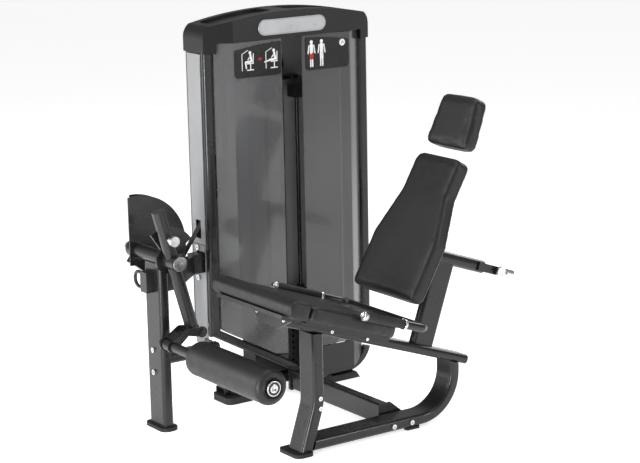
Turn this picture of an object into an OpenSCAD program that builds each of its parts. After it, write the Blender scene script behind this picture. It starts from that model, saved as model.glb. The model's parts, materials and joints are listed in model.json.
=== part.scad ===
/* [Weight tower] */
// Width of the tower along Y
tower_w = 806; // [700:1:950]
// Depth of the tower along X
tower_d = 146; // [140:1:180]
// Height of the tower to the top of its cap
tower_h = 1610; // [1550:1:1700]
// Number of weight plates
plate_count = 12; // [10:1:13]
// Plate that carries the selector pin, counted from the bottom
pin_plate = 9; // [5:1:10]
// Height from one plate to the next
plate_pitch = 25.4; // [25:0.1:26]
// Diameter of the guide rods
rod_d = 17.5; // [16:0.5:20]
// Distance between the guide rods
rod_gap = 153; // [140:1:170]

/* [Lever] */
// Height of the main pivot
pivot_z = 702; // [690:1:715]
// Lean of the lever arm at rest
arm_lean = 15.5; // [14:0.5:17]
// Radius of the belt on the cam
belt_r = 210; // [205:1:212]
// Slope of the belt between the cam and the tower
belt_slope = 54; // [53:0.5:55]
// Diameter of the shin roller
roller_d = 136; // [110:1:140]
// Length of the shin roller
roller_l = 510; // [400:5:515]

/* [Seat] */
// Tilt of the seat rail
seat_tilt = 19.4; // [18:0.1:20]
// Width of the seat pads
seat_w = 536; // [480:2:540]
// Thickness of the main seat pad
seat_t = 51; // [45:1:52]
// Lean of the backrest from upright
back_lean = 30.3; // [29:0.1:31]
// Width of the backrest pad
back_w = 382; // [340:2:390]
// Thickness of the backrest pad
back_t = 61; // [50:1:65]

/* [Tubes] */
// Wide side of the main frame tubes
tube_w = 104; // [100:1:106]
// Narrow side of the main frame tubes
tube_t = 45; // [40:1:46]
// Wall of the frame tubes
wall = 3; // [2:0.5:4]

/* [Hidden] */
$fn = 48;

// The machine is drawn from the tower's near lower corner, then moved to the base centre.
origin_x = 423.8;
origin_y = 242.5;
module place() translate([-origin_x, -origin_y, 0]) children();

frame_c = "#26272a";
panel_c = "#6b6d70";
steel_c = "#c9cbce";
soft_c = "#1b1b1d";

// Tower
y_lo = -70;
y_hi = y_lo + tower_w;
post_w = 48;
post_d = 38;
post_r = 16;
post_z = 1462;
arc_r = 130;
rail_t = 34;
rail_w = 24;
rail_z = 28;
mitre_z = 306;
post_mitre = 120.4;
shield_x = 41;
shield_t = 4;
bow_lo = 45;
bow_hi = 613;
gap_lo = 275;
gap_hi = 375;
cap_r = 1786;
cap_mid = 333;
cap_z = 1500;
cap_corner = 62;
corner_z = 1518;
seam_z = 178;

// Stack
stack_x = -73;
stack_y = 345;
plate_l = 384;
plate_d = 94;
plate_z0 = 87.3;
head_t = 12;
head_z = plate_z0 + plate_count * plate_pitch;
rod_z0 = 64;
rod_z1 = 1330;
stem_r = 12;
pin_z = plate_z0 + (pin_plate - 0.5) * plate_pitch;

// Belt: it runs over three pulleys on parallel axles
belt_w = 28;
belt_t = 4;
pul_r = 50;
pul_c = pul_r + belt_t / 2 + 0.4;
pivot_y = -367;
pul_top_z = 1380;
pul_right_y = stack_y - pul_c;
pul_low = [12, 955];
pul_left_y = pul_low[0] + 2 * pul_c;
cam_p = [pivot_y + belt_r * sin(belt_slope), pivot_z - belt_r * cos(belt_slope)];
low_p = [pul_low[0] + pul_c * sin(belt_slope), pul_low[1] - pul_c * cos(belt_slope)];
axle_r = 8;

// Lever
shaft_r = 15;
fit = 0.05;
housing_r = 29;
beam_z = 566;
hub_x = [176, 258];
hub_r = 32;
index_x = [165, 175];
index_r = 130;
pin_rad = 98;
pop_r = 6;
arm_x = 208;
arm_w = 50;
arm_top = 215;
arm_end = 275;
br_p = [-262, 409];
roller_p = [-395, 371];
roller_x = 425;
br_plates = [[174.5, 182.5], [233.5, 241.5]];

// Seat frame: s runs back along the rail and n stands up from it
seat_x = 680;
seat_z = 452;
rail_h = 38;
rail_s = [-243, 707];
loop_y = 445;
loop_z = 200;
loop_r = 190;
leg_t = 49;
leg_c = [-210, 215];
leg_r = 160;
leg_splay = 18;
leg_knee = leg_c + leg_r * [cos(leg_splay), -sin(leg_splay)];
grip_r = 18;
bar_r = 16.5;
bar_n = 120;
slide_n = 393;
latch_s = 760;
hole_pitch = 27;
tube_r = 22;

// Backrest: t runs up its front face and d goes back through it
back_p = [284, 571];
back_l = 580;
neck_w = 262;
head_p = [605, 1110];
head_lean = 23.2;
head_l = 200;
head_thick = 56;
head_w = 240;

// Rounded rectangle
module rr(w, h, r) {
    square([w - 2 * r, h], center = true);
    square([w, h - 2 * r], center = true);
    for (i = [-1, 1], j = [-1, 1])
        translate([i * (w / 2 - r), j * (h / 2 - r)]) circle(r);
}

// Extrusion of a Y-Z outline along X
module along_x(x0, x1) translate([x0, 0, 0]) rotate([90, 0, 90]) linear_extrude(x1 - x0) children();

// Extrusion of an X-Z outline along Y
module along_y(y0, y1) translate([0, y1, 0]) rotate([90, 0, 0]) linear_extrude(y1 - y0) children();

// Round bar along X
module rod_x(x0, x1, y, z, r) translate([x0, y, z]) rotate([0, 90, 0]) cylinder(h = x1 - x0, r = r);

// Round bar along Y
module rod_y(y0, y1, x, z, r) translate([x, y0, z]) rotate([-90, 0, 0]) cylinder(h = y1 - y0, r = r);

// Straight bar in a Y-Z plane from a to b, w wide along X and t thick
module strut(x, a, b, w, t, r)
    translate([x, a[0], a[1]]) rotate([atan2(b[1] - a[1], b[0] - a[0]) - 90, 0, 0])
        linear_extrude(norm(b - a)) rr(w, t, r);

// Bent bar in a Y-Z plane about centre c
module bend(x, c, rad, a0, a1, w, t, r)
    translate([x, c[0], c[1]]) rotate([90, 0, 90]) rotate([0, 0, a0])
        rotate_extrude(angle = a1 - a0) translate([rad, 0]) rr(t, w, r);

// Hollow version of a straight bar
module hollow(x, a, b, w, t, r)
    difference() {
        strut(x, a, b, w, t, r);
        strut(x, a, b, w - 2 * wall, t - 2 * wall, r - wall);
    }

// Hexagon socket screw head facing along X or Y
module screw_x(x, y, z, r) difference() {
    rod_x(x, x + 0.6 * r, y, z, r);
    translate([x + 0.3 * r, y, z]) rotate([0, 90, 0]) cylinder(h = r, r = 0.5 * r, $fn = 6);
}
module screw_y(y, x, z, r) difference() {
    rod_y(y - 0.6 * r, y, x, z, r);
    translate([x, y - 0.3 * r, z]) rotate([90, 0, 0]) cylinder(h = r, r = 0.5 * r, $fn = 6);
}

// Seat frame of axes: children use X, s and n
module seat() translate([0, 0, seat_z]) rotate([-seat_tilt, 0, 0]) children();

// ---- tower ----

module post(x, y, z0) hollow(x, [y, z0], [y, post_z], post_d, post_w, post_r);

module tower_posts() color(frame_c) place()
    for (x = [-post_d / 2, -tower_d + post_d / 2]) {
        difference() {
            post(x, y_lo + post_w / 2, mitre_z - 40);
            // mitre with the falling rail
            beyond(x, [y_lo + post_w / 2, mitre_z + 6], post_mitre - 180);
        }
        post(x, y_hi - post_w / 2, rail_z + arc_r + 0.2);
    }

// Space on one side of a mitre at p; the mitre's normal stands at angle a
module beyond(x, p, a) translate([x, p[0], p[1]]) rotate([a, 0, 0])
    translate([-100, -0.05, -150]) cube([200, 900, 300]);

module lower_rail(x) {
    rail_c = rail_z + rail_t / 2;
    fall = [-60, 320];
    foot = [432, rail_c];
    drop = atan2(foot[1] - fall[1], foot[0] - fall[0]);
    r = 8;
    difference() {
        strut(x, fall - 80 * [cos(drop), sin(drop)], foot + 40 * [cos(drop), sin(drop)], rail_w, rail_t, r);
        beyond(x, foot, drop / 2);
        beyond(x, [y_lo + post_w / 2, mitre_z + 6], post_mitre);
    }
    intersection() {
        union() {
            strut(x, foot - [40, 0], [y_hi - arc_r, rail_c], rail_w, rail_t, r);
            bend(x, [y_hi - arc_r, rail_z + arc_r], arc_r - rail_t / 2, -90, 0, rail_w, rail_t, r);
        }
        beyond(x, foot, drop / 2);
    }
}

module tower_lower_rails() color(frame_c) place()
    for (x = [-rail_w / 2, -tower_d + rail_w / 2]) lower_rail(x);

module tower_base_beam() color(frame_c) place() {
    hollow(stack_x, [6, 43], [428, 43], 70, 30, 8);
    for (y = [30, 560])
        translate([-tower_d + rail_w + 0.3, y, rail_z + 3])
            cube([tower_d - 2 * rail_w - 0.6, 50, 24]);
}

// Feet with a sloping end; they carry the whole tower
module tower_foot_left() color(soft_c) place()
    translate([-120, 0, 0]) difference() {
        translate([68, 56, 0]) linear_extrude(27.6) rr(136, 132, 26);
        translate([-1, 90, 14]) rotate([-24, 0, 0]) cube([138, 60, 40]);
    }

module tower_foot_right() color(soft_c) place()
    difference() {
        along_x(-120, 16) polygon([[520, 0], [659, 0], [640, 27.6], [520, 27.6]]);
        rod_x(-121, 17, 672, 34, 24);
    }

module arch(r) translate([cap_mid, tower_h - cap_r]) circle(r, $fn = 360);

module cap_plan()
    polygon([[-tower_d - 2, y_lo - 2], [2, y_lo - 2], [shield_x + 1, bow_lo], [shield_x + 1, bow_hi],
        [2, y_hi + 2], [-tower_d - 2, y_hi + 2]]);

module cap_side() intersection() {
    arch(cap_r);
    union() {
        translate([y_lo - 2 + cap_corner, post_z - 2]) square([tower_w + 4 - 2 * cap_corner, 400]);
        for (y = [y_lo - 2 + cap_corner, y_hi + 2 - cap_corner]) translate([y, corner_z]) circle(cap_corner);
        translate([y_lo - 2, post_z - 2]) square([tower_w + 4, corner_z - post_z + 2]);
    }
}

module tray(y0, y1) intersection() {
    translate([-62, (y0 + y1) / 2, 1500]) linear_extrude(200) rr(108, y1 - y0, 24);
    along_x(-tower_d, 0) difference() {
        translate([y_lo, 1500]) square([tower_w, 200]);
        arch(cap_r - 12);
    }
}

module tower_cap() color("#2c2d30") place() difference() {
    intersection() {
        translate([0, 0, 1400]) linear_extrude(300) cap_plan();
        along_x(-tower_d - 2, shield_x + 1) cap_side();
    }
    // the middle of the skirt is higher than its ends
    translate([-tower_d - 10, y_lo + post_w + 0.4, post_z - 10])
        cube([tower_d + 80, tower_w - 2 * post_w - 0.8, cap_z - post_z + 10]);
    // sockets for the four uprights
    for (x = [-post_d - 2, -tower_d - 2], y = [y_lo - 2, y_hi - post_w - 2])
        translate([x, y, post_z - 10]) cube([post_d + 4, post_w + 4, 10.5]);
    translate([-tower_d + 4, y_lo + 56, cap_z - 1]) cube([tower_d - 8, tower_w - 112, 66]);
    tray(-20, 268);
    tray(338, 640);
}

module cap_badge() color(steel_c) place()
    along_x(shield_x + 1.2, shield_x + 5) translate([328, 1548]) rr(330, 64, 31.9);

module placard(y0, y1) intersection() {
    along_x(shield_x + 0.3, shield_x + 3.3) union() {
        translate([y0, 1390]) square([y1 - y0, 100]);
        translate([(y0 + y1) / 2, 1400]) rr(y1 - y0, 90, 14);
    }
    along_x(0, 100) translate([cap_mid, tower_h - cap_r]) circle(cap_r - 118, $fn = 360);
}
module placards() color("black") place() {
    placard(49, 270);
    placard(392, 606);
}

// Plan of a bowed shield from the post at ya, over the bow at yb, to the gap at yc
module shield_plan(ya, yb, yc) {
    j = sign(yc - ya);
    inner = shield_x - shield_t;
    polygon([[-4, ya], [-9, ya], [-9, ya + 3 * j], [inner, yb], [inner, yc], [shield_x, yc],
        [shield_x, yb - j]]);
}
module left_plan() shield_plan(y_lo + post_w + 1, bow_lo, gap_lo);
module right_plan() shield_plan(y_hi - post_w - 1, bow_hi, gap_hi);

module shield_left() color("#55575a") place() intersection() {
    translate([0, 0, seam_z + 4]) linear_extrude(cap_z - 5.5 - seam_z) left_plan();
    // the lower edge follows the falling rail
    along_x(-20, 60) polygon([[y_lo, 348], [213, seam_z + 12], [gap_lo + 1, seam_z + 4],
        [gap_lo + 1, 1700], [y_lo, 1700]]);
}

module shield_right() color("#3c3e41") place()
    translate([0, 0, seam_z + 4]) linear_extrude(cap_z - 5.5 - seam_z) right_plan();

// Panel under the shields, open in the middle where the plates are seen
module kick_panel() color("#3a3b3e") place() intersection() {
    translate([-3, 0, 60]) linear_extrude(seam_z - 60) {
        left_plan();
        right_plan();
    }
    along_x(-20, 60) difference() {
        polygon([[232, seam_z], [432, 67], [606, 67], [606, 60], [y_hi, 60], [y_hi, seam_z]]);
        difference() {
            translate([606, 0]) square([200, rail_z + arc_r]);
            translate([606, rail_z + arc_r]) circle(arc_r - rail_t - 1);
        }
    }
}

module side_panel_upper() color(panel_c) place()
    translate([0, y_lo - 3.4, 0]) difference() {
        translate([-122, 0, 681]) cube([98, 3, post_z - 4 - 681]);
        translate([-94, -1, 704]) cube([38, 5, 76]);
    }

module side_panel_lower() color(panel_c) place()
    translate([0, y_lo - 3.4, 0]) difference() {
        translate([-119, 0, 258]) cube([92, 3, 420]);
        translate([-96, -1, 566]) cube([66, 5, 85]);
    }

module back_panel() color("#77797c") place() {
    translate([-tower_d + 5, y_lo + post_w + 1, 340]) cube([3, tower_w - 2 * post_w - 2, cap_z - 342]);
    along_x(-tower_d + 5, -tower_d + 8)
        polygon([[y_lo + post_w + 1, 339], [y_lo + post_w + 1, 330], [432, 66], [606, 66],
            [y_hi - post_w - 1, 170], [y_hi - post_w - 1, 339]]);
}

// ---- weight stack ----

module rod_spots() for (j = [-1, 1]) translate([stack_x, stack_y + j * rod_gap / 2, 0]) children();

module guide_rods() color(steel_c) place()
    rod_spots() translate([0, 0, rod_z0]) cylinder(h = rod_z1 - rod_z0, d = rod_d);

// Blocks that hold the rods, with the cross plates that carry them
module rod_clamps() color(frame_c) place() difference() {
    union() {
        translate([-tower_d + 8.5, stack_y - 120, rod_z1 - 34]) cube([tower_d - 30, 240, 22]);
        rod_spots() translate([-30, -26, rod_z1 - 96]) cube([60, 52, 62]);
        translate([-tower_d + rail_w + 0.3, stack_y - 120, 60.2]) cube([tower_d - 2 * rail_w - 0.6, 240, 12]);
    }
    rod_spots() cylinder(h = 2000, d = rod_d);
    // window for the belt
    translate([stack_x - 24, stack_y - 20, rod_z1 - 60]) cube([48, 60, 60]);
}

module stack_bumpers() color(soft_c) place()
    rod_spots() translate([0, 0, 72.3]) difference() {
        cylinder(h = plate_z0 - 72.5, r = 24);
        translate([0, 0, -1]) cylinder(h = 40, d = rod_d + 0.4);
    }

module plates(i0, i1) difference() {
    for (i = [i0 : i1])
        translate([stack_x - plate_d / 2, stack_y - plate_l / 2, plate_z0 + (i - 1) * plate_pitch])
            cube([plate_d, plate_l, plate_pitch - (i == i1 ? 0.4 : 1.2)]);
    rod_spots() cylinder(h = 900, d = rod_d + 4);
    translate([stack_x, stack_y, 0]) cylinder(h = 900, r = stem_r + 2);
    for (i = [i0 : i1])
        rod_x(stack_x, 10, stack_y, plate_z0 + (i - 0.5) * plate_pitch, 6);
}
module weight_plates_resting() color("#303134") place() plates(1, pin_plate - 1);
module weight_plates_lifted() color("#303134") place() plates(pin_plate, plate_count);

module head_plate() color("#2a2b2e") place() difference() {
    union() {
        translate([stack_x - plate_d / 2, stack_y - plate_l / 2, head_z]) cube([plate_d, plate_l, head_t]);
        rod_spots() translate([0, 0, head_z]) cylinder(h = 40, r = 17);
        translate([stack_x, stack_y, head_z]) cylinder(h = 34, r = 18);
    }
    rod_spots() cylinder(h = 900, d = rod_d + 2 * fit);
    translate([stack_x, stack_y, 0]) cylinder(h = head_z + 30, r = stem_r + 0.1);
}

module selector_stem() color(steel_c) place() difference() {
    translate([stack_x, stack_y, plate_z0 + 3]) cylinder(h = head_z + 29 - plate_z0 - 3, r = stem_r);
    for (i = [1 : plate_count])
        rod_x(stack_x - 20, stack_x + 20, stack_y, plate_z0 + (i - 0.5) * plate_pitch, 5.2);
}

module selector_pin() color("#b02a26") place() {
    rod_x(stack_x - 10, -10, stack_y, pin_z, 5);
    rod_x(-10, 14, stack_y, pin_z, 13);
}

// ---- belt and pulleys ----

module belt_flat(a, b) {
    u = (b - a) / norm(b - a);
    strut(stack_x, a + 0.1 * u, b - 0.1 * u, belt_w, belt_t, 0.5);
}
module belt_bend(c, a0, a1) bend(stack_x, c, pul_c, a0, a1, belt_w, belt_t, 0.5);

module stack_belt() color(soft_c) place()
    belt_flat([stack_y, head_z + 34.3], [stack_y, pul_top_z]);

// From the cam through the tower to the top of the last pulley
module belt_run() color(soft_c) place() {
    low_y = pul_low[0] + pul_c;
    top_z = pul_top_z + pul_c;
    belt_flat(cam_p, low_p);
    belt_bend(pul_low, belt_slope - 90, 0);
    belt_flat([low_y, pul_low[1]], [low_y, pul_top_z]);
    belt_bend([pul_left_y, pul_top_z], 90, 180);
    belt_flat([pul_left_y, top_z], [pul_right_y, top_z]);
    belt_bend([pul_right_y, pul_top_z], 0.3, 90);
}

module pulley(y, z) difference() {
    union() {
        rod_x(stack_x - 17, stack_x + 17, y, z, pul_r);
        for (x = [-21, 17]) rod_x(stack_x + x, stack_x + x + 4, y, z, pul_r + 4.5);
    }
    rod_x(stack_x - 30, stack_x + 30, y, z, axle_r + fit);
    for (a = [0 : 60 : 300])
        translate([0, y, z]) rotate([a, 0, 0]) rod_x(stack_x - 30, stack_x + 30, 28, 0, 9);
}
module pulley_low() color("#1f2022") place() pulley(pul_low[0], pul_low[1]);
module pulley_top_left() color("#1f2022") place() pulley(pul_left_y, pul_top_z);
module pulley_top_right() color("#1f2022") place() pulley(pul_right_y, pul_top_z);

// Cheek plates and axles that hold the three pulleys
module pulley_brackets() color(frame_c) place() {
    for (x = [stack_x - 30, stack_x + 24]) {
        difference() {
            along_x(x, x + 6) translate(pul_low - [60, 40]) square([86, 113]);
            rod_x(x - 1, x + 7, pul_low[0], pul_low[1], axle_r);
        }
        difference() {
            translate([x, pul_left_y - 30, pul_top_z - 30]) cube([6, pul_right_y - pul_left_y + 60, 60]);
            for (y = [pul_left_y, pul_right_y]) rod_x(x - 1, x + 7, y, pul_top_z, axle_r);
        }
    }
    for (p = [pul_low, [pul_left_y, pul_top_z], [pul_right_y, pul_top_z]])
        rod_x(stack_x - 34, stack_x + 34, p[0], p[1], axle_r);
    // cross piece to the posts, and straps up to the cap on both sides of the belt
    translate([-tower_d + post_d + 0.3, pul_low[0] - 62, pul_low[1] + 57])
        cube([tower_d - 2 * post_d - 0.6, 40, 16]);
    for (x = [stack_x - 30, stack_x + 24]) translate([x, (pul_left_y + pul_right_y) / 2 - 20, pul_top_z])
        cube([6, 40, cap_z - pul_top_z - 4]);
}

// ---- lever support ----

module lever_post() color(frame_c) place() difference() {
    hollow(80, [pivot_y, 14.3], [pivot_y, pivot_z - housing_r + 6], 118, tube_t, 14);
    rod_x(0, 160, pivot_y, pivot_z, housing_r + 0.3);
}

// Bent plate-like arm from the top of the post into the side of the tower
module upper_beam() color(frame_c) place() translate([0, 0, beam_z]) linear_extrude(80)
    polygon([[30, pivot_y + 23], [130, pivot_y + 23], [126, -300], [-39, -120], [-39, -30], [-88, -30],
        [-88, -122], [-42, -150], [-42, -200], [20, -310]]);

module lower_beam() color(frame_c) place() {
    hollow(34, [pivot_y + 23, 267], [y_lo - 1, 267], 50, 48, 14);
    translate([-40, y_lo - 14, 243]) cube([50, 8, 48]);
}

module bearing_housing() color(frame_c) place() difference() {
    union() {
        rod_x(-44, 150, pivot_y, pivot_z, housing_r);
        rod_x(150, 155.6, pivot_y, pivot_z, housing_r - 3);
    }
    rod_x(-50, 160, pivot_y, pivot_z, shaft_r + fit);
}

// ---- cam and shaft ----

module pivot_shaft() color(steel_c) place() {
    rod_x(-112, 259, pivot_y, pivot_z, shaft_r);
    difference() {
        rod_x(259, 267, pivot_y, pivot_z, 29);
        rod_x(263, 270, pivot_y, pivot_z, 7);
    }
    rod_x(-126, -112, pivot_y, pivot_z, 25);
}

// Cam flange outline about the pivot: round over the belt, straight on the post side at y0
module cam_side(rad, y0) intersection() {
    circle(rad, $fn = 180);
    union() {
        translate([y0, -60]) square([300, 330]);
        rotate(-37) translate([0, -60]) square([300, 100]);
    }
}

module cam() color("#232427") place() difference() {
    translate([0, pivot_y, pivot_z]) union() {
        along_x(-94, -88) cam_side(belt_r + 9, -12);
        along_x(-58, -52) cam_side(belt_r + 9, -40);
        along_x(-88, -58) cam_side(belt_r - belt_t / 2 - 0.4, -12);
        rod_x(-100, -46, 0, 0, 34);
    }
    rod_x(-130, 0, pivot_y, pivot_z, shaft_r);
}

// End of the belt, clamped to the rim of the cam
module cam_belt() color(soft_c) place()
    bend(stack_x, [pivot_y, pivot_z], belt_r, belt_slope - 104, belt_slope - 90.1, belt_w, belt_t, 0.5);

// Holes for the start position on an arc, joined by a shallow track
module index_plate() color("#232427") place() translate([0, pivot_y, pivot_z]) difference() {
    union() {
        along_x(index_x[0], index_x[1]) intersection() {
            circle(index_r, $fn = 120);
            union() {
                circle(52);
                rotate(34) square(index_r);
            }
        }
        rod_x(156, index_x[0], 0, 0, 40);
    }
    rod_x(150, 180, 0, 0, shaft_r);
    for (i = [0 : 4])
        rotate([arm_lean - 12 * i, 0, 0]) rod_x(160, 180, 0, pin_rad, pop_r + 0.3);
    along_x(index_x[1] - 3, index_x[1] + 1) intersection() {
        difference() {
            circle(pin_rad + pop_r + 0.6);
            circle(pin_rad - pop_r - 0.6);
        }
        rotate(arm_lean + 98 - 76) square(200);
    }
}

// ---- lever arm ----

module lever_hub() color("#2a2b2e") place() difference() {
    rod_x(hub_x[0], hub_x[1], pivot_y, pivot_z, hub_r);
    rod_x(hub_x[0] - 1, hub_x[1] + 1, pivot_y, pivot_z, shaft_r + fit);
}

// Axes along the arm: local Z runs up the arm from the pivot
module arm_frame() translate([0, pivot_y, pivot_z]) rotate([arm_lean, 0, 0]) children();

module lever_arm() color(frame_c) place() arm_frame() difference() {
    translate([arm_x, 0, -arm_end]) linear_extrude(arm_end + arm_top) rr(arm_w, arm_w, 21);
    rod_x(100, 300, 0, 0, hub_r + 0.1);
    rod_x(100, 300, 0, pin_rad, pop_r + fit);
    translate([arm_x, 0, -arm_end - 1]) linear_extrude(180) rr(arm_w - 8, arm_w - 8, 17);
}

module start_pin() color(steel_c) place() arm_frame() {
    rod_x(index_x[1] - 2.6, 240, 0, pin_rad, pop_r);
    rod_x(233.4, 240, 0, pin_rad, 10);
    rod_x(240, 262, 0, pin_rad, 12);
    rod_x(262, 278, 0, pin_rad, 20);
}

block_x = [52, 100];
grip_z = [574, 634];
grip_y = pivot_y - tube_t / 2 - 21;
module release_block() color(frame_c) place() difference() {
    translate([block_x[0], pivot_y - tube_t / 2 - 36.2, 563]) cube([block_x[1] - block_x[0], 36, 82]);
    for (z = grip_z) rod_x(block_x[0] - 1, block_x[0] + 40, grip_y, z, 7 + fit);
}

// D-shaped pull handle that slides in the release block
module release_handle() color("#2a2b2e") place() {
    x = block_x[0] - 35;
    for (z = grip_z) rod_x(x, block_x[0] + 24, grip_y, z, 7);
    translate([x, grip_y, (grip_z[0] + grip_z[1]) / 2]) rotate([90, 0, 0]) rotate([0, 0, 90])
        rotate_extrude(angle = 180) translate([(grip_z[1] - grip_z[0]) / 2, 0]) circle(7);
}

// Arched side plate from the pivot bolt to the roller axle
module bracket_side() {
    crown = [-330, 420];
    translate(br_p) circle(22);
    translate(roller_p) circle(27);
    for (p = [br_p, roller_p]) hull() {
        translate(p) circle(19, $fn = 32);
        translate(crown) circle(15, $fn = 32);
    }
}

module roller_bracket() color("#232427") place() difference() {
    union() {
        for (p = br_plates) along_x(p[0], p[1]) bracket_side();
        rod_x(br_plates[0][1], br_plates[1][0], roller_p[0], roller_p[1], 22);
        // pivot bolt with its heads
        rod_x(br_plates[0][0] - 5, br_plates[1][1] + 5, br_p[0], br_p[1], 8);
        for (x = [br_plates[0][0] - 5, br_plates[1][1]]) rod_x(x, x + 5, br_p[0], br_p[1], 13);
        rod_x(br_plates[0][1], br_plates[1][0], -334, 412, 8);
    }
    rod_x(100, 300, roller_p[0], roller_p[1], 19.1);
}

module roller_axle() color(frame_c) place() {
    rod_x(158, roller_x + roller_l, roller_p[0], roller_p[1], 19);
    difference() {
        rod_x(roller_x + roller_l + 0.3, roller_x + roller_l + 8, roller_p[0], roller_p[1], 29);
        rod_x(roller_x + roller_l + 5, roller_x + roller_l + 12, roller_p[0], roller_p[1], 8);
    }
}

module shin_roller() color(soft_c) place()
    translate([roller_x, roller_p[0], roller_p[1]]) rotate([0, 90, 0]) rotate_extrude()
        difference() {
            union() {
                square([roller_d / 2 - 16, roller_l]);
                translate([0, 16]) square([roller_d / 2, roller_l - 32]);
                for (z = [16, roller_l - 16]) translate([roller_d / 2 - 16, z]) circle(16);
            }
            translate([-1, -1]) square([20.08, roller_l + 2]);
        }

// ---- seat frame ----

module loop_path(k) {
    w = tube_w - 2 * k;
    t = tube_t - 2 * k;
    r = 14 - k;
    zc = 10 + tube_t / 2;
    yc = loop_y + loop_r - tube_t / 2;
    strut(seat_x, [-95, zc], [loop_y, zc], w, t, r);
    bend(seat_x, [loop_y, loop_z], loop_r - tube_t / 2, -90, 0, w, t, r);
    strut(seat_x, [yc, loop_z], [yc, 260], w, t, r);
}

module base_loop() color(frame_c) place() difference() {
    loop_path(0);
    loop_path(wall);
    seat() translate([seat_x - 100, 0, -0.3]) cube([200, 800, 400]);
    // end cut to the slope of the front leg
    translate([seat_x - 100, leg_knee[0] + (leg_t / 2 + 0.4) / cos(leg_splay), leg_knee[1]])
        rotate([-leg_splay, 0, 0]) translate([0, -300, -300]) cube([200, 300, 400]);
}

// Upright, bend and splayed foot of the front leg, butted with hairline joints
module front_leg() color(frame_c) place() difference() {
    union() {
        down = [-sin(leg_splay), -cos(leg_splay)];
        strut(seat_x, leg_c + [leg_r, 0.1], [leg_c[0] + leg_r, 470], tube_w, leg_t, 14);
        bend(seat_x, leg_c, leg_r, 0.05 - leg_splay, -0.02, tube_w, leg_t, 14);
        strut(seat_x, leg_knee + 0.1 * down, leg_knee + 180 * down, tube_w, leg_t, 14);
    }
    seat() translate([seat_x - 100, -300, -0.3]) cube([200, 600, 400]);
    translate([seat_x - 100, -300, -50]) cube([200, 400, 64.3]);
}

module floor_pads() color(soft_c) place() {
    translate([78, pivot_y, 0]) linear_extrude(14) rr(156, 76, 30);
    translate([seat_x, -128, 0]) linear_extrude(14) rr(140, 84, 26);
    translate([seat_x + 36, 400, 0]) linear_extrude(9.8) rr(28, 66, 10);
    translate([seat_x - 36, 400, 0]) linear_extrude(9.8) rr(28, 66, 10);
}

module cross_beam() color(frame_c) place() {
    difference() {
        along_x(15, seat_x - tube_w / 2 - 0.2) translate([327, 54.5]) rr(46, 85, 8);
        along_x(20, seat_x - tube_w / 2 - 10) translate([327, 54.5]) rr(38, 77, 5);
    }
    along_x(0.3, 14.8) translate([327, 54.5]) rr(60, 94, 6);
    // gusset on the far side of the base tube
    translate([seat_x - tube_w / 2 - 6.3, 0, 0]) rotate([90, 0, 90]) linear_extrude(6)
        polygon([[350.2, 14], [350.2, 96], [362, 96], [425, 44], [425, 14]]);
}

// ---- seat ----

module seat_rail() color(frame_c) place() seat() {
    difference() {
        translate([seat_x, rail_s[0], rail_h / 2]) rotate([-90, 0, 0])
            linear_extrude(rail_s[1] - rail_s[0]) rr(tube_w, rail_h, 17);
        translate([seat_x, rail_s[0] - 1, rail_h / 2]) rotate([-90, 0, 0])
            linear_extrude(rail_s[1] - rail_s[0] - 8) rr(tube_w - 2 * wall, rail_h - 2 * wall, 14);
    }
    // cross plate at the front end
    translate([0, rail_s[0] - 8.2, 0]) along_y(0, 8) translate([seat_x, 0])
        polygon([[-142, rail_h], [-61, -9], [61, -9], [142, rail_h]]);
    // boards under the two pads
    translate([seat_x - 220, -362, rail_h + 0.2]) cube([440, 80, 15]);
    translate([seat_x - 230, -258, rail_h + 0.2]) cube([460, 400, 20]);
}

// Seat pad, narrower behind where the handles lean in beside it
module seat_pad() color(soft_c) place() seat() translate([seat_x, 0, rail_h + 20.5])
    linear_extrude(seat_t) hull() for (j = [-1, 1]) {
        for (s = [-243, 20]) translate([j * (seat_w / 2 - 22), s]) circle(22, $fn = 32);
        translate([j * (seat_w / 2 - 44), 133]) circle(22, $fn = 32);
    }

module front_pad() color(soft_c) place() seat()
    translate([seat_x - seat_w / 2, 0, 0]) along_x(0, seat_w) union() {
        translate([-338, 54]) square([61, 62]);
        translate([-338, 85]) circle(31);
    }

// One bent bar behind the seat with a grip on each side; its plane is bar_n above the rail
grip_a = [296, -48];
grip_l = 201.5;
grip_turn = 6.8;
turn_r = 42;
bar_l = 296;
module half(j) if (j > 0) children(); else mirror([1, 0, 0]) children();
// Axes along one grip: local Y runs back along the bar
module grip_axes() translate([grip_a[0], grip_a[1], bar_n]) rotate([0, 0, grip_turn]) children();

module handlebar() color(frame_c) place() seat() translate([seat_x, 0, 0]) {
    bend_c = grip_a + [-sin(grip_turn), cos(grip_turn)] * bar_l + [-cos(grip_turn), -sin(grip_turn)] * turn_r;
    for (j = [-1, 1]) half(j) {
        grip_axes() rod_y(grip_l + 10, bar_l, 0, 0, bar_r);
        grip_axes() rod_y(-6, grip_l + 10, 0, 0, bar_r - 2.5);
        translate([bend_c[0], bend_c[1], bar_n]) rotate([0, 0, grip_turn])
            rotate_extrude(angle = 90 - grip_turn) translate([turn_r, 0]) circle(bar_r);
    }
    rod_x(-bend_c[0], bend_c[0], bend_c[1] + turn_r, bar_n, bar_r);
    translate([-30, bend_c[1] + turn_r - 25, rail_h + 0.3]) cube([60, 50, bar_n - rail_h - 8]);
}

module handle_grips() color(soft_c) place() seat() translate([seat_x, 0, 0])
    for (j = [-1, 1]) half(j) grip_axes() difference() {
        union() {
            rod_y(-14, grip_l, 0, 0, grip_r);
            rod_y(grip_l, grip_l + 9, 0, 0, grip_r + 2);
        }
        rod_y(-7, grip_l + 10, 0, 0, bar_r - 2.5);
    }

// ---- backrest ----

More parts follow.
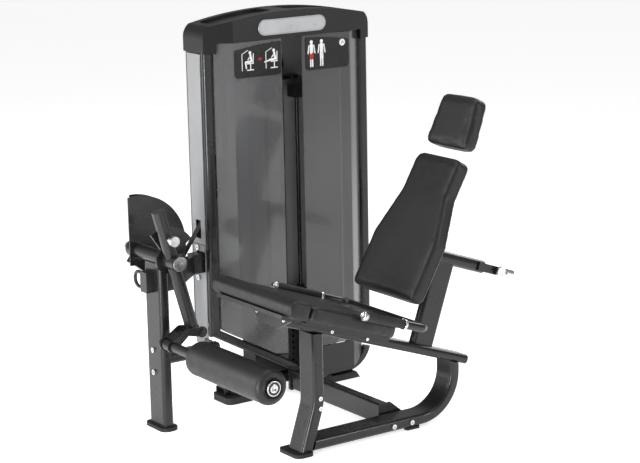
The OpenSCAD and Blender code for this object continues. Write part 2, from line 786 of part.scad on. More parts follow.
module backrest_post() color(frame_c) place() seat() {
    difference() {
        translate([seat_x, 491, rail_h + 0.3]) linear_extrude(slide_n - rail_h + 12) rr(40, tube_w, 14);
        translate([seat_x, 491, rail_h]) linear_extrude(slide_n - rail_h - 40)
            rr(40 - 2 * wall, tube_w - 2 * wall, 11);
        rod_y(400, 600, seat_x, slide_n, 26.2);
    }
    // fixed outer tube of the slide, with the latch arm along its near side
    difference() {
        union() {
            rod_y(438, 698, seat_x, slide_n, 26);
            translate([seat_x, 655, slide_n - 17]) cube([34, 122, 34]);
        }
        rod_y(430, 698.5, seat_x, slide_n, tube_r + fit);
        rod_y(698, 790, seat_x, slide_n, tube_r + 1);
        rod_x(seat_x, seat_x + 50, latch_s, slide_n, pop_r - 1 + fit);
    }
}

// Stop holes on a line, joined by a shallow track
module adjuster_tube() color(steel_c) place() seat() difference() {
    rod_y(346, 859, seat_x, slide_n, tube_r);
    rod_y(352, 855, seat_x, slide_n, tube_r - 4);
    for (i = [-3 : 2]) rod_x(seat_x + 10, seat_x + 30, latch_s + i * hole_pitch, slide_n, pop_r - 0.5);
    translate([seat_x + tube_r - 2.5, latch_s - 90, slide_n - 5.6]) cube([5, 152, 11.2]);
}

module adjuster_pin() color(steel_c) place() seat() {
    rod_x(seat_x + tube_r - 1.8, seat_x + 44, latch_s, slide_n, pop_r - 1);
    rod_x(seat_x + 34.4, seat_x + 44, latch_s, slide_n, 11);
    rod_x(seat_x + 44, seat_x + 56, latch_s, slide_n, 21);
}

// Plate up the back of the pads, bent to the headrest's lean at the top
module back_plate() color(frame_c) place() {
    back_axes() translate([seat_x - 60, back_t + 0.3, 110]) cube([120, 6, back_l - 112]);
    head_axes() translate([seat_x - 60, head_thick + 0.3, 30]) cube([120, 6, head_l - 70]);
}

module back_axes() translate([0, back_p[0], back_p[1]]) rotate([-back_lean, 0, 0]) children();
module head_axes() translate([0, head_p[0], head_p[1]]) rotate([-head_lean, 0, 0]) children();

module back_outline() {
    hull() for (j = [-1, 1]) {
        translate([j * (back_w / 2 - 24), 26]) circle(24, $fn = 32);
        translate([j * (back_w / 2 - 24), 232]) circle(24, $fn = 32);
        translate([j * (neck_w / 2 - 30), 420]) circle(30, $fn = 32);
    }
    hull() for (j = [-1, 1], t = [420, back_l - 32])
        translate([j * (neck_w / 2 - 30), t]) circle(30, $fn = 32);
}

module backrest_pad() color(soft_c) place() back_axes()
    translate([seat_x, back_t, 0]) rotate([90, 0, 0]) linear_extrude(back_t) back_outline();

module headrest_pad() color(soft_c) place() head_axes()
    translate([seat_x, head_thick, 0]) rotate([90, 0, 0]) linear_extrude(head_thick)
        hull() for (j = [-1, 1]) {
            translate([j * (head_w / 2 - 24), 24]) circle(24, $fn = 32);
            translate([j * (head_w / 2 - 38), head_l - 24]) circle(24, $fn = 32);
        }

// ---- screws ----

module frame_bolts() color(steel_c) place() {
    for (z = [231, 322]) screw_y(pivot_y - tube_t / 2 - 0.2, 75, z, 11);
    for (z = [539, 665]) screw_y(y_lo - 3.6, -81, z, 11);
    for (p = [[300, 24], [388, 24]])
        screw_x(seat_x + tube_w / 2 + 0.2, p[0], p[1] + 8, 10);
    for (z = [175, 215]) screw_x(seat_x + tube_w / 2 + 0.2, -49, z, 9);
    for (x = [seat_x - 90, seat_x + 90]) seat() screw_y(rail_s[0] - 8.4, x, 27, 8);
    seat() screw_x(seat_x + tube_w / 2 + 0.2, 5, rail_h / 2, 7);
    seat() screw_x(seat_x + tube_w / 2 + 0.2, 180, rail_h / 2, 7);
}

tower_posts();
tower_lower_rails();
tower_base_beam();
tower_foot_left();
tower_foot_right();
tower_cap();
cap_badge();
placards();
shield_left();
shield_right();
kick_panel();
side_panel_upper();
side_panel_lower();
back_panel();
guide_rods();
rod_clamps();
stack_bumpers();
weight_plates_resting();
weight_plates_lifted();
head_plate();
selector_stem();
selector_pin();
stack_belt();
belt_run();
pulley_low();
pulley_top_left();
pulley_top_right();
pulley_brackets();
lever_post();
upper_beam();
lower_beam();
bearing_housing();
pivot_shaft();
cam();
cam_belt();
index_plate();
lever_hub();
lever_arm();
start_pin();
release_block();
release_handle();
roller_bracket();
roller_axle();
shin_roller();
base_loop();
front_leg();
floor_pads();
cross_beam();
seat_rail();
front_pad();
seat_pad();
handlebar();
handle_grips();
backrest_post();
adjuster_tube();
adjuster_pin();
back_plate();
backrest_pad();
headrest_pad();
frame_bolts();
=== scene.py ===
import json
import math

import bmesh
import bpy
from mathutils import Matrix, Vector


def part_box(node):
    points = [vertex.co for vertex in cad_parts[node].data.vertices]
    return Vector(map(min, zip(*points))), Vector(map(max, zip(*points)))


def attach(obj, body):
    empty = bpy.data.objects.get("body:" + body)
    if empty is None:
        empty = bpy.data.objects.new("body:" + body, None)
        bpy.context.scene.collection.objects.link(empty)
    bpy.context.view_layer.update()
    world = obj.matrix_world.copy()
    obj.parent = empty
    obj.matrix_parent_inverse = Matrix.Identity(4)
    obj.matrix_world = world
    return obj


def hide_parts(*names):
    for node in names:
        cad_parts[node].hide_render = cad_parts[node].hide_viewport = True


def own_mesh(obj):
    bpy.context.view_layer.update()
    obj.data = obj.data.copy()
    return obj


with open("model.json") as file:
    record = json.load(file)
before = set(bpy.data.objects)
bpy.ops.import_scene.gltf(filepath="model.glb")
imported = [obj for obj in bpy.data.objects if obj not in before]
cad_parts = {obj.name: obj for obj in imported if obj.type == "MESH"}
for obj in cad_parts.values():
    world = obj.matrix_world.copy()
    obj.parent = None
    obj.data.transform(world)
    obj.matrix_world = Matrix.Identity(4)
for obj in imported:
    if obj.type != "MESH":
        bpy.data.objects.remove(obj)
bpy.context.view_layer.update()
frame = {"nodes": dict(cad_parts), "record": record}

nodes = frame["nodes"]

# ---------------------------------------------------------------- places from the frame
JOINTS = {j["name"]: j for j in frame["record"]["behaviour"]["joints"]}


def lo(node):
    return Vector(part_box(node)[0])


def hi(node):
    return Vector(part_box(node)[1])


def mid(node):
    return (lo(node) + hi(node)) / 2


slide = Vector(JOINTS["backrest_slide"]["axis"])
SEAT_TILT = math.atan2(slide.z, -slide.y)
SEAT_X = mid("seat_pad").x
SEAT_W = hi("seat_pad").x - lo("seat_pad").x
BACK_LEAN = math.radians(30.3)
HEAD_LEAN = math.radians(23.2)
roller_c = Vector(JOINTS["roller_spin"]["pos_m"])

# ---------------------------------------------------------------- camera
CAM_AT = Vector((6.2954, -4.4374, 2.4938))
CAM_AZ, CAM_EL, CAM_ROLL = map(math.radians, (55.2, 12.6, -1.16))
LENS = 112.5

cam_data = bpy.data.cameras.new("camera")
cam = bpy.data.objects.new("camera", cam_data)
bpy.context.collection.objects.link(cam)
cam_data.lens = LENS
cam_data.sensor_width = 36
cam_data.clip_end = 100
forward = Vector((-math.sin(CAM_AZ) * math.cos(CAM_EL), math.cos(CAM_AZ) * math.cos(CAM_EL),
                  -math.sin(CAM_EL)))
right = Vector((math.cos(CAM_AZ), math.sin(CAM_AZ), 0))
up = right.cross(forward)
rolled_right = right * math.cos(CAM_ROLL) + up * math.sin(CAM_ROLL)
rolled_up = rolled_right.cross(forward)
turn = Matrix((rolled_right, rolled_up, -forward)).transposed().to_4x4()
cam.matrix_world = Matrix.Translation(CAM_AT) @ turn
bpy.context.scene.camera = cam
bpy.context.scene.view_settings.view_transform = "Standard"

# ---------------------------------------------------------------- stage and light


def new_object(name, data):
    o = bpy.data.objects.new(name, data)
    bpy.context.collection.objects.link(o)
    return o


def area_light(name, at, aim, size, power, size_y=None, seen=True):
    data = bpy.data.lights.new(name, "AREA")
    data.shape = "RECTANGLE"
    data.size, data.size_y = size, size_y or size
    data.energy = power
    o = new_object(name, data)
    o.location = at
    o.rotation_euler = (Vector(aim) - Vector(at)).to_track_quat("-Z", "Y").to_euler()
    o.visible_camera = seen


world = bpy.data.worlds.new("studio")
bpy.context.scene.world = world
world.use_nodes = True
world.node_tree.nodes["Background"].inputs["Color"].default_value = (1, 1, 1, 1)
world.node_tree.nodes["Background"].inputs["Strength"].default_value = 0.3

CENTRE = (0, 0, 0.8)
area_light("key", (1.2, -5.6, 4.6), CENTRE, 2.2, 130)
area_light("side", (5.6, 3.4, 2.8), CENTRE, 1.0, 100, 2.8)
area_light("left_strip", (-3.4, -4.4, 1.9), (0, -0.3, 0.8), 0.6, 120, 3.0)
area_light("top", (0.2, 0.4, 5.0), CENTRE, 2.6, 90)
area_light("front_strip", (1.35, -2.9, 0.62), (-0.3, -0.4, 0.62), 0.22, 60, 1.2, False)
area_light("back_rim", (-1.6, 4.6, 3.2), CENTRE, 2.2, 70)

# ---------------------------------------------------------------- materials


NOISE_ROUGH = 0.55


class Mat:
    """A procedural material, built up from object-space noise."""

    def __init__(self, name):
        self.m = bpy.data.materials.new(name)
        self.m.use_nodes = True
        self.n = self.m.node_tree.nodes
        self.l = self.m.node_tree.links
        self.bsdf = self.n["Principled BSDF"]
        self.coord = self.n.new("ShaderNodeTexCoord")
        self.normal = None

    def set(self, **values):
        for key, value in values.items():
            self.bsdf.inputs[key.replace("_", " ")].default_value = value
        return self

    def noise(self, scale, detail=3, stretch=None):
        vec = self.coord.outputs["Object"]
        if stretch:
            mapping = self.n.new("ShaderNodeMapping")
            mapping.inputs["Scale"].default_value = stretch
            self.l.new(vec, mapping.inputs["Vector"])
            vec = mapping.outputs["Vector"]
        t = self.n.new("ShaderNodeTexNoise")
        t.inputs["Scale"].default_value = scale
        t.inputs["Detail"].default_value = detail
        t.inputs["Roughness"].default_value = NOISE_ROUGH
        self.l.new(vec, t.inputs["Vector"])
        return t.outputs["Fac"]

    def cells(self, scale):
        t = self.n.new("ShaderNodeTexVoronoi")
        t.feature = "DISTANCE_TO_EDGE"
        t.inputs["Scale"].default_value = scale
        self.l.new(self.coord.outputs["Object"], t.inputs["Vector"])
        return t.outputs["Distance"]

    def ramp(self, fac, stops):
        r = self.n.new("ShaderNodeValToRGB")
        e = r.color_ramp.elements
        while len(e) < len(stops):
            e.new(0.5)
        for k, (at, c) in enumerate(stops):
            e[k].position = at
            e[k].color = (*c, 1)
        self.l.new(fac, r.inputs["Fac"])
        return r.outputs["Color"]

    def colour(self, rgb, spread=0.12, scale=6.0):
        dark = tuple(c * (1 - spread) for c in rgb)
        light = tuple(c * (1 + spread) for c in rgb)
        out = self.ramp(self.noise(scale, 5), [(0.35, dark), (0.65, light)])
        self.l.new(out, self.bsdf.inputs["Base Color"])
        return self

    def roughness(self, low, high, scale=14.0):
        out = self.ramp(self.noise(scale, 4), [(0.3, (low,) * 3), (0.7, (high,) * 3)])
        self.l.new(out, self.bsdf.inputs["Roughness"])
        return self

    def bump(self, height, strength, distance):
        b = self.n.new("ShaderNodeBump")
        b.inputs["Strength"].default_value = strength
        b.inputs["Distance"].default_value = distance
        self.l.new(height, b.inputs["Height"])
        if self.normal:
            self.l.new(self.normal, b.inputs["Normal"])
        self.normal = b.outputs["Normal"]
        self.l.new(self.normal, self.bsdf.inputs["Normal"])
        return self


def powder_coat(name, rgb, low=0.3, high=0.42):
    m = Mat(name).colour(rgb, 0.04).roughness(low, high)
    m.set(Coat_Weight=0.25, Coat_Roughness=0.12, Specular_IOR_Level=0.3)
    m.bump(m.noise(700, 2), 0.06, 0.0003)
    return m.m


def plated(name, rgb, low, high, stretch=(40, 40, 400)):
    m = Mat(name).colour(rgb, 0.06, 9).roughness(low, high, 30)
    m.set(Metallic=1.0)
    m.bump(m.noise(6, 2, stretch), 0.02, 0.0001)
    return m.m


def moulded(name, rgb, low=0.4, high=0.55):
    m = Mat(name).colour(rgb, 0.08).roughness(low, high)
    m.set(Specular_IOR_Level=0.3)
    m.bump(m.noise(1100, 2), 0.06, 0.0002)
    return m.m


def rubber(name, rgb):
    m = Mat(name).colour(rgb, 0.12, 20).roughness(0.6, 0.78)
    m.bump(m.noise(900, 3), 0.25, 0.0005)
    return m.m


def leather(name, rgb, grain=420):
    m = Mat(name).colour(rgb, 0.14, 11).roughness(0.4, 0.52, 35)
    m.set(Specular_IOR_Level=0.4)
    m.bump(m.noise(26, 3), 0.10, 0.004)
    m.bump(m.cells(grain), 0.28, 0.0007)
    return m.m


def smoked(name, rgb, alpha):
    m = Mat(name).colour(rgb, 0.05, 2.5).roughness(0.10, 0.17, 5)
    m.set(Alpha=alpha, Coat_Weight=0.4, Coat_Roughness=0.06, IOR=1.49)
    return m.m


BLACK = powder_coat("frame_black", (0.012, 0.0122, 0.013), 0.24, 0.34)
GREY = powder_coat("sheet_grey", (0.24, 0.243, 0.25), 0.4, 0.52)
# The back panel's grey is lighter than the sheet grey: painted light for the shaded inside of the tower.
BACK_GREY_PAINTED_LIGHT = powder_coat("back_grey_painted_light", (0.36, 0.365, 0.37), 0.5, 0.6)
DARK_SHEET = powder_coat("dark_sheet", (0.014, 0.0142, 0.015), 0.4, 0.5)
DARK_ROD = plated("black_chrome", (0.05, 0.05, 0.053), 0.2, 0.3)
BADGE = plated("badge_silver", (0.3, 0.305, 0.31), 0.34, 0.44)
CAP = moulded("cap_black", (0.007, 0.0072, 0.0078), 0.3, 0.42)
MACHINED = powder_coat("machined_black", (0.01, 0.0102, 0.011), 0.2, 0.32)
STEEL = plated("bright_steel", (0.66, 0.67, 0.68), 0.2, 0.32)
SATIN = plated("satin_steel", (0.36, 0.365, 0.37), 0.26, 0.36)
PLATES = moulded("plate_paint", (0.008, 0.0082, 0.009), 0.6, 0.7)
RUBBER = rubber("black_rubber", (0.008, 0.008, 0.0085))
GRIP = rubber("grip_rubber", (0.008, 0.008, 0.0085))
BELT = rubber("belting", (0.009, 0.009, 0.0095))
RED = moulded("red_plastic", (0.42, 0.02, 0.018), 0.25, 0.35)
LEATHER = leather("upholstery", (0.0085, 0.0085, 0.009))
PIPING = leather("piping", (0.012, 0.012, 0.0125), 700)
# One smoked plastic in two tones: the lighter copy carries painted light and the darker copy carries painted
# shade.
SHIELD_PAINTED_LIGHTER = smoked("shield_left", (0.105, 0.106, 0.109), 0.66)
SHIELD_PAINTED_DARKER = smoked("shield_right", (0.062, 0.0625, 0.065), 0.76)
PRINT = moulded("print_black", (0.008, 0.008, 0.009), 0.22, 0.32)
WHITE = moulded("print_white", (0.72, 0.72, 0.72), 0.4, 0.5)

FINISH = {
    "frame_black": BLACK, "machined_black": MACHINED, "sheet_grey": GREY, "cap_plastic": CAP,
    "smoked_shield": SHIELD_PAINTED_LIGHTER, "printed_plate": PRINT, "bright_steel": STEEL,
    "cast_plates": PLATES, "black_rubber": RUBBER, "belting": BELT, "red_knob": RED,
    "upholstery": LEATHER,
}
for part in frame["record"]["subparts"]:
    o = nodes[part["node"]]
    for s in o.material_slots:
        s.material = FINISH[part["material_slot"]]


def repaint(node, material):
    for s in nodes[node].material_slots:
        s.material = material


# The right shield takes the darker copy, which is painted shade.
repaint("shield_right", SHIELD_PAINTED_DARKER)
# The back panel takes the lighter grey, with painted light in it.
repaint("back_panel", BACK_GREY_PAINTED_LIGHT)
repaint("handle_grips", GRIP)
repaint("kick_panel", DARK_SHEET)
repaint("guide_rods", DARK_ROD)

# ---------------------------------------------------------------- floor
floor_mesh = bpy.data.meshes.new("floor")
HALF = 30.0
FLOOR_GLOW = 0.66
FLOOR_DROP = 0.0006
floor_mesh.from_pydata([(-HALF, -HALF, 0), (HALF, -HALF, 0), (HALF, HALF, 0), (-HALF, HALF, 0)],
                       [], [(0, 1, 2, 3)])
floor = new_object("floor", floor_mesh)
floor.location.z = -FLOOR_DROP
pale = Mat("floor_pale").colour((0.9, 0.9, 0.9), 0.01, 1.0).roughness(0.6, 0.7, 3)
pale.set(Emission_Color=(1, 1, 1, 1), Emission_Strength=FLOOR_GLOW)
floor_mesh.materials.append(pale.m)

# ---------------------------------------------------------------- making pieces


def add(name, mesh, material, body, at=None, smooth=True):
    o = new_object(name, mesh)
    if at is not None:
        o.data.transform(at)
    if smooth:
        o.data.polygons.foreach_set("use_smooth", [True] * len(o.data.polygons))
    o.data.materials.append(material)
    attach(o, body)
    return o


def lathe(profile, segments=48):
    """Closed surface of revolution about local X from (x, r) points."""
    bm = bmesh.new()
    rings = []
    for x, r in profile:
        if r < 1e-6:
            rings.append([bm.verts.new((x, 0, 0))])
        else:
            rings.append([bm.verts.new((x, r * math.cos(2 * math.pi * k / segments),
                                        r * math.sin(2 * math.pi * k / segments)))
                          for k in range(segments)])
    for a, b in zip(rings, rings[1:]):
        for k in range(segments):
            k2 = (k + 1) % segments
            if len(a) == 1:
                bm.faces.new((a[0], b[k2], b[k]))
            elif len(b) == 1:
                bm.faces.new((a[k], a[k2], b[0]))
            else:
                bm.faces.new((a[k], a[k2], b[k2], b[k]))
    bmesh.ops.recalc_face_normals(bm, faces=bm.faces)
    mesh = bpy.data.meshes.new("lathe")
    bm.to_mesh(mesh)
    bm.free()
    return mesh


def plate(outline, depth, bevel=0.0):
    """Prism of an outline in local X-Y, from z = 0 to depth, with a bevelled rim."""
    bm = bmesh.new()
    base = [bm.verts.new((x, y, 0)) for x, y in outline]
    face = bm.faces.new(base)
    out = bmesh.ops.extrude_face_region(bm, geom=[face])
    bmesh.ops.translate(bm, vec=(0, 0, depth),
                        verts=[v for v in out["geom"] if isinstance(v, bmesh.types.BMVert)])
    bmesh.ops.recalc_face_normals(bm, faces=bm.faces)
    if bevel:
        rim = [e for e in bm.edges if abs(e.verts[0].co.z - e.verts[1].co.z) < 1e-7]
        bmesh.ops.bevel(bm, geom=rim, offset=bevel, segments=3, affect="EDGES", profile=0.5)
    mesh = bpy.data.meshes.new("plate")
    bm.to_mesh(mesh)
    bm.free()
    return mesh


def arc(cx, cy, r, a0, a1, steps=10):
    return [(cx + r * math.cos(math.radians(a0 + (a1 - a0) * k / steps)),
             cy + r * math.sin(math.radians(a0 + (a1 - a0) * k / steps))) for k in range(steps + 1)]


def round_rect(w, h, r, steps):
    return (arc(w / 2 - r, h / 2 - r, r, 0, 90, steps) + arc(r - w / 2, h / 2 - r, r, 90, 180, steps)
            + arc(r - w / 2, r - h / 2, r, 180, 270, steps) + arc(w / 2 - r, r - h / 2, r, 270, 360, steps))


def piping(name, points, radius, body):
    """Round piping around a closed loop of points, as a mesh."""
    curve = bpy.data.curves.new(name, "CURVE")
    curve.dimensions = "3D"
    curve.bevel_depth = radius
    curve.bevel_resolution = 3
    spline = curve.splines.new("POLY")
    spline.points.add(len(points) - 1)
    for p, q in zip(spline.points, points):
        p.co = (*q, 1)
    spline.use_cyclic_u = True
    o = new_object(name + "_curve", curve)
    mesh = bpy.data.meshes.new_from_object(o.evaluated_get(bpy.context.evaluated_depsgraph_get()))
    bpy.data.objects.remove(o)
    return add(name, mesh, PIPING, body)


def face_x(x, y, z):
    """Turns local X-Y into Y-Z on a plane facing +X at (x, y, z)."""
    return Matrix.Translation((x, y, z)) @ Matrix(((0, 0, 1, 0), (1, 0, 0, 0), (0, 1, 0, 0), (0, 0, 0, 1)))


# ---------------------------------------------------------------- padded pieces
VOXEL = 0.006
PRESSURE = 3.0
CLOTH_FRAMES = 20
HOLD_FROM, HOLD_OVER = 0.2, 0.5  # how squarely a point faces the board before it is held
SMOOTHING = 0.5
CURVE_ROUNDS = 6
LONGEST_SEAM = 20000  # points, so that a torn loop still ends


def smooth_curve(points):
    for _ in range(CURVE_ROUNDS):
        points = [(points[k - 1] + points[k] * 2 + points[(k + 1) % len(points)]) / 4
                  for k in range(len(points))]
    return points


def blow_up(obj, cap, flat_dir):
    """Cloth pressure swells the pad outwards; points on its board side stay put."""
    me = obj.data
    rest = [v.co.copy() for v in me.vertices]
    out = [v.normal.copy() for v in me.vertices]
    facing = [n.dot(flat_dir) for n in out]
    cloth = obj.modifiers.new("cloth", "CLOTH")
    cs = cloth.settings
    cs.quality = 5
    cs.mass = 0.4
    cs.tension_stiffness = cs.compression_stiffness = 18
    cs.shear_stiffness = 8
    cs.bending_stiffness = 2.0
    cs.use_pressure = True
    cs.uniform_pressure_force = PRESSURE
    cs.effector_weights.gravity = 0
    cloth.collision_settings.use_collision = False
    cloth.point_cache.frame_start, cloth.point_cache.frame_end = 1, CLOTH_FRAMES
    scene = bpy.context.scene
    for f in range(1, CLOTH_FRAMES + 1):
        scene.frame_set(f)
    dg = bpy.context.evaluated_depsgraph_get()
    done = [v.co.copy() for v in obj.evaluated_get(dg).data.vertices]
    obj.modifiers.remove(cloth)
    scene.frame_set(1)
    for k, v in enumerate(me.vertices):
        swell = min(cap, max(0.0, (done[k] - rest[k]).dot(out[k])))
        hold = min(1.0, max(0.0, (facing[k] - HOLD_FROM) / HOLD_OVER))
        v.co = rest[k] + out[k] * swell * (1 - hold)


def soft_pad(name, node, body, board, cap=0.004, grow=0.0025):
    """The pad that stands for a CAD cushion: remeshed, swelled and smoothed."""
    mesh = nodes[node].data.copy()
    o = new_object(name, mesh)
    o.data.materials.clear()
    bpy.context.view_layer.objects.active = o
    re = o.modifiers.new("remesh", "REMESH")
    re.mode = "VOXEL"
    re.voxel_size = VOXEL
    sm = o.modifiers.new("soften", "SMOOTH")
    sm.factor, sm.iterations = SMOOTHING, 5
    swell = o.modifiers.new("swell", "DISPLACE")
    swell.strength, swell.mid_level = grow, 0.0
    made = bpy.data.meshes.new_from_object(o.evaluated_get(bpy.context.evaluated_depsgraph_get()))
    o.modifiers.clear()
    o.data = made
    blow_up(o, cap, board)
    fin = o.modifiers.new("relax", "SMOOTH")
    fin.factor, fin.iterations = SMOOTHING, 12
    sub = o.modifiers.new("subdivide", "SUBSURF")
    sub.levels = sub.render_levels = 1
    final = bpy.data.meshes.new_from_object(o.evaluated_get(bpy.context.evaluated_depsgraph_get()))
    o.modifiers.clear()
    o.data = final
    final.polygons.foreach_set("use_smooth", [True] * len(final.polygons))
    final.materials.clear()
    final.materials.append(LEATHER)
    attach(o, body)
    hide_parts(node)
    return o


def seam_loop(name, pad, at, normal, radius, body):
    """Piping where a plane cuts the finished pad."""
    bm = bmesh.new()
    bm.from_mesh(pad.data)
    geom = bm.verts[:] + bm.edges[:] + bm.faces[:]
    cut = bmesh.ops.bisect_plane(bm, geom=geom, plane_co=at, plane_no=normal)["geom_cut"]
    edges = [e for e in cut if isinstance(e, bmesh.types.BMEdge)]
    links = {}
    for e in edges:
        a, b = e.verts
        links.setdefault(a, []).append(b)
        links.setdefault(b, []).append(a)
    start = max(links, key=lambda v: (round(v.co.z, 5), round(v.co.x, 5), round(v.co.y, 5)))
    loop, last, here = [start], None, start
    while True:
        step = [v for v in links[here] if v is not last]
        if not step or step[0] is start or len(loop) > LONGEST_SEAM:
            break
        last, here = here, step[0]
        loop.append(here)
    points = [v.co.copy() for v in loop][::3]
    bm.free()
    return piping(name, smooth_curve(points), radius, body)


def tilt(angle):
    return Matrix.Rotation(-angle, 4, "X")


seat_down = tilt(SEAT_TILT) @ Vector((0, 0, -1))
back_away = tilt(BACK_LEAN) @ Vector((0, 1, 0))
head_away = tilt(HEAD_LEAN) @ Vector((0, 1, 0))

seat_pad = soft_pad("seat_cushion", "seat_pad", "frame", seat_down)
front_pad = soft_pad("knee_cushion", "front_pad", "frame", seat_down)
back_pad = soft_pad("back_cushion", "backrest_pad", "backrest", back_away, cap=0.006)
head_pad = soft_pad("head_cushion", "headrest_pad", "backrest", head_away, cap=0.006, grow=0.004)

WELT = 0.0022
BACK_WELT = 0.0018
WELT_INSET = 0.011  # from each side of the seat pads
BACK_SEAM, HEAD_SEAM = 0.018, 0.016  # behind the middle of each pad
for tag, pad in (("seat", seat_pad), ("knee", front_pad)):
    for side, sign in (("near", 1), ("far", -1)):
        x = SEAT_X + sign * (SEAT_W / 2 - WELT_INSET)
        seam_loop("welt_%s_%s" % (tag, side), pad, (x, 0, 0), (1, 0, 0), WELT, "frame")
back_cut = mid("backrest_pad") + back_away * BACK_SEAM
head_cut = mid("headrest_pad") + head_away * HEAD_SEAM
seam_loop("welt_back", back_pad, back_cut, back_away, BACK_WELT, "backrest")
seam_loop("welt_head", head_pad, head_cut, head_away, BACK_WELT, "backrest")

# ---------------------------------------------------------------- shin roller
x0, x1 = lo("shin_roller").x, hi("shin_roller").x
R = (hi("shin_roller").z - lo("shin_roller").z) / 2
END_R = 0.024
BORE_R = 0.0202
DISH_R = 0.040  # where the near end turns in to the bore
FACE_R = R - END_R - 0.012
CROWN = 0.0016  # how much lower the sleeve is at its ends
SPAN = 12


def shoulder(angle):
    """How far in from the end, and at what radius, the rounded end is at an angle."""
    a = math.radians(angle)
    return END_R - END_R * math.cos(a), R - END_R + END_R * math.sin(a) * 0.99


profile = [(x0 + 0.001, BORE_R), (x0 + 0.0005, FACE_R)]
for a in range(12, 91, 13):
    inward, r = shoulder(a)
    profile.append((x0 + inward, r))
for k in range(1, SPAN):
    profile.append((x0 + (x1 - x0) * k / SPAN, R - 0.0002 - CROWN * abs(2 * k / SPAN - 1) ** 3))
for a in range(90, 11, -13):
    inward, r = shoulder(a)
    profile.append((x1 - inward, r))
profile += [(x1 - 0.0005, FACE_R), (x1 - 0.0015, DISH_R), (x1 - 0.0015, BORE_R)]
to_roller = Matrix.Translation((0, roller_c.y, roller_c.z))
roller = add("roller_cushion", lathe(profile, 96), LEATHER, "roller", to_roller)
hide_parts("shin_roller")
SEAM_IN = END_R * 0.55
SEAM_R = R - 0.0035
SEAM_STEPS = 96
for side, x in (("far", x0 + SEAM_IN), ("near", x1 - SEAM_IN)):
    turns = [2 * math.pi * k / SEAM_STEPS for k in range(SEAM_STEPS)]
    ring = [Vector((x, roller_c.y + SEAM_R * math.cos(a), roller_c.z + SEAM_R * math.sin(a))) for a in turns]
    piping("roller_seam_" + side, ring, 0.0016, "roller")

axle_end = hi("roller_axle").x
cap_profile = [(-0.0072, 0.0292), (-0.001, 0.0294), (0.0, 0.0286), (0.0004, 0.0262), (-0.0004, 0.0245),
               (0.0, 0.016), (0.0009, 0.0148), (0.0009, 0.0085), (-0.0022, 0.0078), (-0.0022, 0.0)]
end_cap = lathe([(axle_end + x, r) for x, r in cap_profile], 64)
add("roller_end_cap", end_cap, STEEL, "roller_holder", to_roller)

# ---------------------------------------------------------------- badge and pictograms
shield_face = hi("placards").x
badge_c = mid("cap_badge")
badge_x = lo("cap_badge").x
bw, bh = hi("cap_badge").y - lo("cap_badge").y, hi("cap_badge").z - lo("cap_badge").z
BADGE_DEPTH = 0.0036
BADGE_RIM = 0.007


def stadium(inset):
    """The badge's outline, drawn in from its edge."""
    reach, r = (bw - bh) / 2, bh / 2 - inset
    return arc(reach, 0, r, -90, 90, 20) + arc(-reach, 0, r, 90, 270, 20)


badge_at = face_x(badge_x, badge_c.y, badge_c.z)
badge_mesh = plate(stadium(0), BADGE_DEPTH, 0.0012)
pill = add("badge_plate", badge_mesh, BADGE, "frame", badge_at, smooth=False)
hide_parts("cap_badge")
rim_at = face_x(badge_x + BADGE_DEPTH, badge_c.y, badge_c.z)
field_mesh = plate(stadium(BADGE_RIM), 0.0005, 0.0002)
add("badge_field", field_mesh, SATIN, "frame", rim_at, smooth=False)


def stroke(a, b, w):
    """Outline of a thick line with round ends."""
    ang = math.degrees(math.atan2(b[1] - a[1], b[0] - a[0]))
    return arc(a[0], a[1], w / 2, ang + 90, ang + 270, 8) + arc(b[0], b[1], w / 2, ang - 90, ang + 90, 8)


INK, INK_STEP = 0.00035, 0.00004  # print thickness, and what keeps crossing shapes apart


def print_shapes(name, shapes, y, z, material):
    """Joins flat shapes into one thin printed figure on the placards."""
    bm = bmesh.new()
    for k, shape in enumerate(shapes):
        layer = plate(shape, INK + INK_STEP * (k % 3))
        bm.from_mesh(layer)
        bpy.data.meshes.remove(layer)
    mesh = bpy.data.meshes.new(name)
    bm.to_mesh(mesh)
    bm.free()
    return add(name, mesh, material, "frame", face_x(shield_face, y, z), smooth=False)


def disc(x, y, r):
    return arc(x, y, r, 0, 345, 23)


def machine_icon(knee):
    """A seated figure on a leg machine, with the lower leg at the given angle."""
    k = math.radians(knee)
    foot = (-0.012 - 0.022 * math.sin(k), -0.006 - 0.022 * math.cos(k))
    body = [disc(0.010, 0.034, 0.0062), stroke((0.012, 0.024), (0.017, 0.000), 0.009),
            stroke((0.015, -0.002), (-0.010, -0.003), 0.008), stroke((-0.012, -0.005), foot, 0.006),
            stroke((0.010, 0.018), (0.000, 0.006), 0.004)]
    seat = [stroke((0.026, 0.028), (0.024, -0.008), 0.004), stroke((0.026, -0.010), (-0.004, -0.010), 0.004),
            stroke((0.012, -0.012), (0.012, -0.036), 0.004), stroke((-0.004, -0.036), (0.026, -0.036), 0.004),
            stroke((-0.028, -0.036), (-0.028, 0.030), 0.003), stroke((-0.028, 0.030), (0.0, 0.044), 0.0025)]
    return body + seat


left_y = lo("placards").y
right_y = hi("placards").y
icon_z = lo("placards").z + 0.066
START_IN, ARROW_IN, END_IN = 0.062, 0.118, 0.176  # from the left edge of the placards
print_shapes("icon_start", machine_icon(-10), left_y + START_IN, icon_z, WHITE)
print_shapes("icon_end", machine_icon(80), left_y + END_IN, icon_z, WHITE)
arrow = [(-0.008, 0.003), (0.002, 0.003), (0.002, 0.008), (0.010, 0.0),
         (0.002, -0.008), (0.002, -0.003), (-0.008, -0.003)]
print_shapes("icon_arrow", [arrow], left_y + ARROW_IN, icon_z + 0.004, RED)


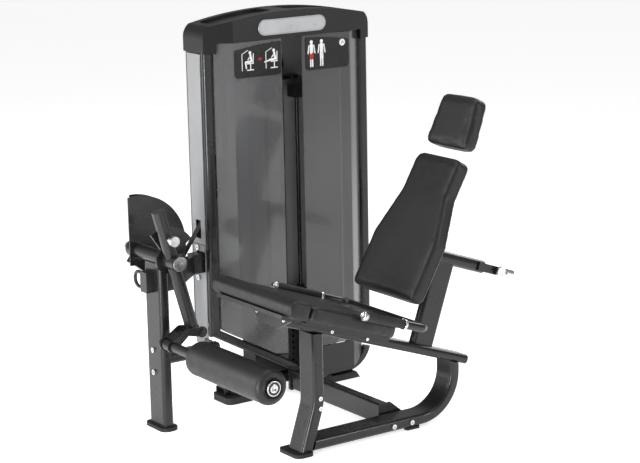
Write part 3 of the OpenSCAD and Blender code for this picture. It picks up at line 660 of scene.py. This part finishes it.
def figure(x):
    """A standing figure with its middle at x, without thighs."""
    shapes = [disc(x, 0.050, 0.0075), stroke((x, 0.036), (x, 0.008), 0.016)]
    for side in (-1, 1):
        shapes.append(stroke((x + side * 0.012, 0.036), (x + side * 0.017, 0.004), 0.005))
    for side in (-1, 1):
        shapes.append(stroke((x + side * 0.0045, -0.024), (x + side * 0.005, -0.050), 0.006))
    return shapes


def thighs(x):
    """The thighs of a standing figure, apart so that they can have their own colour."""
    return [stroke((x + side * 0.0045, 0.002), (x + side * 0.0045, -0.020), 0.0078) for side in (-1, 1)]


BODY_FROM_RIGHT = 0.186
body_y = right_y - BODY_FROM_RIGHT
print_shapes("icon_bodies", figure(0.0) + figure(0.050) + thighs(0.050), body_y, icon_z, WHITE)
print_shapes("icon_muscles", thighs(0.0), body_y, icon_z, RED)
round_y, round_z = right_y - 0.032, icon_z + 0.036
print_shapes("icon_round", [disc(0, 0, 0.014)], round_y, round_z, WHITE)
bent_line = [stroke((-0.005, -0.006), (0.002, 0.006), 0.003), stroke((0.002, 0.006), (0.007, -0.004), 0.003)]
print_shapes("icon_round_inner", bent_line, round_y, round_z, RED)

# ---------------------------------------------------------------- seat handles: caps and rings
SEAT_ORIGIN = (SEAT_X, -0.2425, 0.452)
seat_frame = Matrix.Translation(SEAT_ORIGIN) @ tilt(SEAT_TILT)
GRIP_TURN = math.radians(6.8)
GRIP_AT = Vector((0.296, -0.048, 0.120))
GRIP_L = 0.2015
DOME_TIP, DOME_DEPTH, DOME_R = -0.0185, 0.006, 0.0182
dome = [(DOME_TIP, 0.0)]
for a in map(math.radians, range(15, 91, 15)):
    dome.append((DOME_TIP + DOME_DEPTH * (1 - math.cos(a)), DOME_R * math.sin(a) ** 0.6))
dome += [(-0.0005, 0.0184), (-0.0003, 0.0)]
ring = [(GRIP_L + x, r) for x, r in ((0.0005, 0.0182), (-0.001, 0.0198), (0.001, 0.0206), (0.008, 0.0206),
                                     (0.0096, 0.0198), (0.0092, 0.0168), (0.0005, 0.0182))]
for side, sign in (("near", 1), ("far", -1)):
    place = Matrix.Translation((sign * GRIP_AT.x, GRIP_AT.y, GRIP_AT.z))
    at = seat_frame @ place @ Matrix.Rotation(sign * GRIP_TURN + math.pi / 2, 4, "Z")
    add("grip_cap_" + side, lathe(dome), STEEL, "frame", at)
    add("grip_ring_" + side, lathe(ring), STEEL, "frame", at)

# ---------------------------------------------------------------- belt over the stack
# It is held at its top and shortens as the stack rises.
BELT_ROUND = 0.0008
belt_lo, belt_hi = lo("stack_belt"), hi("stack_belt")
belt_size = belt_hi - belt_lo
belt_at = Matrix.Translation((mid("stack_belt").x, mid("stack_belt").y, belt_lo.z))
strip = plate(round_rect(belt_size.x, belt_size.y, BELT_ROUND, 3), belt_size.z)
hanging = add("stack_belt_hanging", strip, BELT, "frame", belt_at, smooth=False)
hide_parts("stack_belt")
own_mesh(hanging)
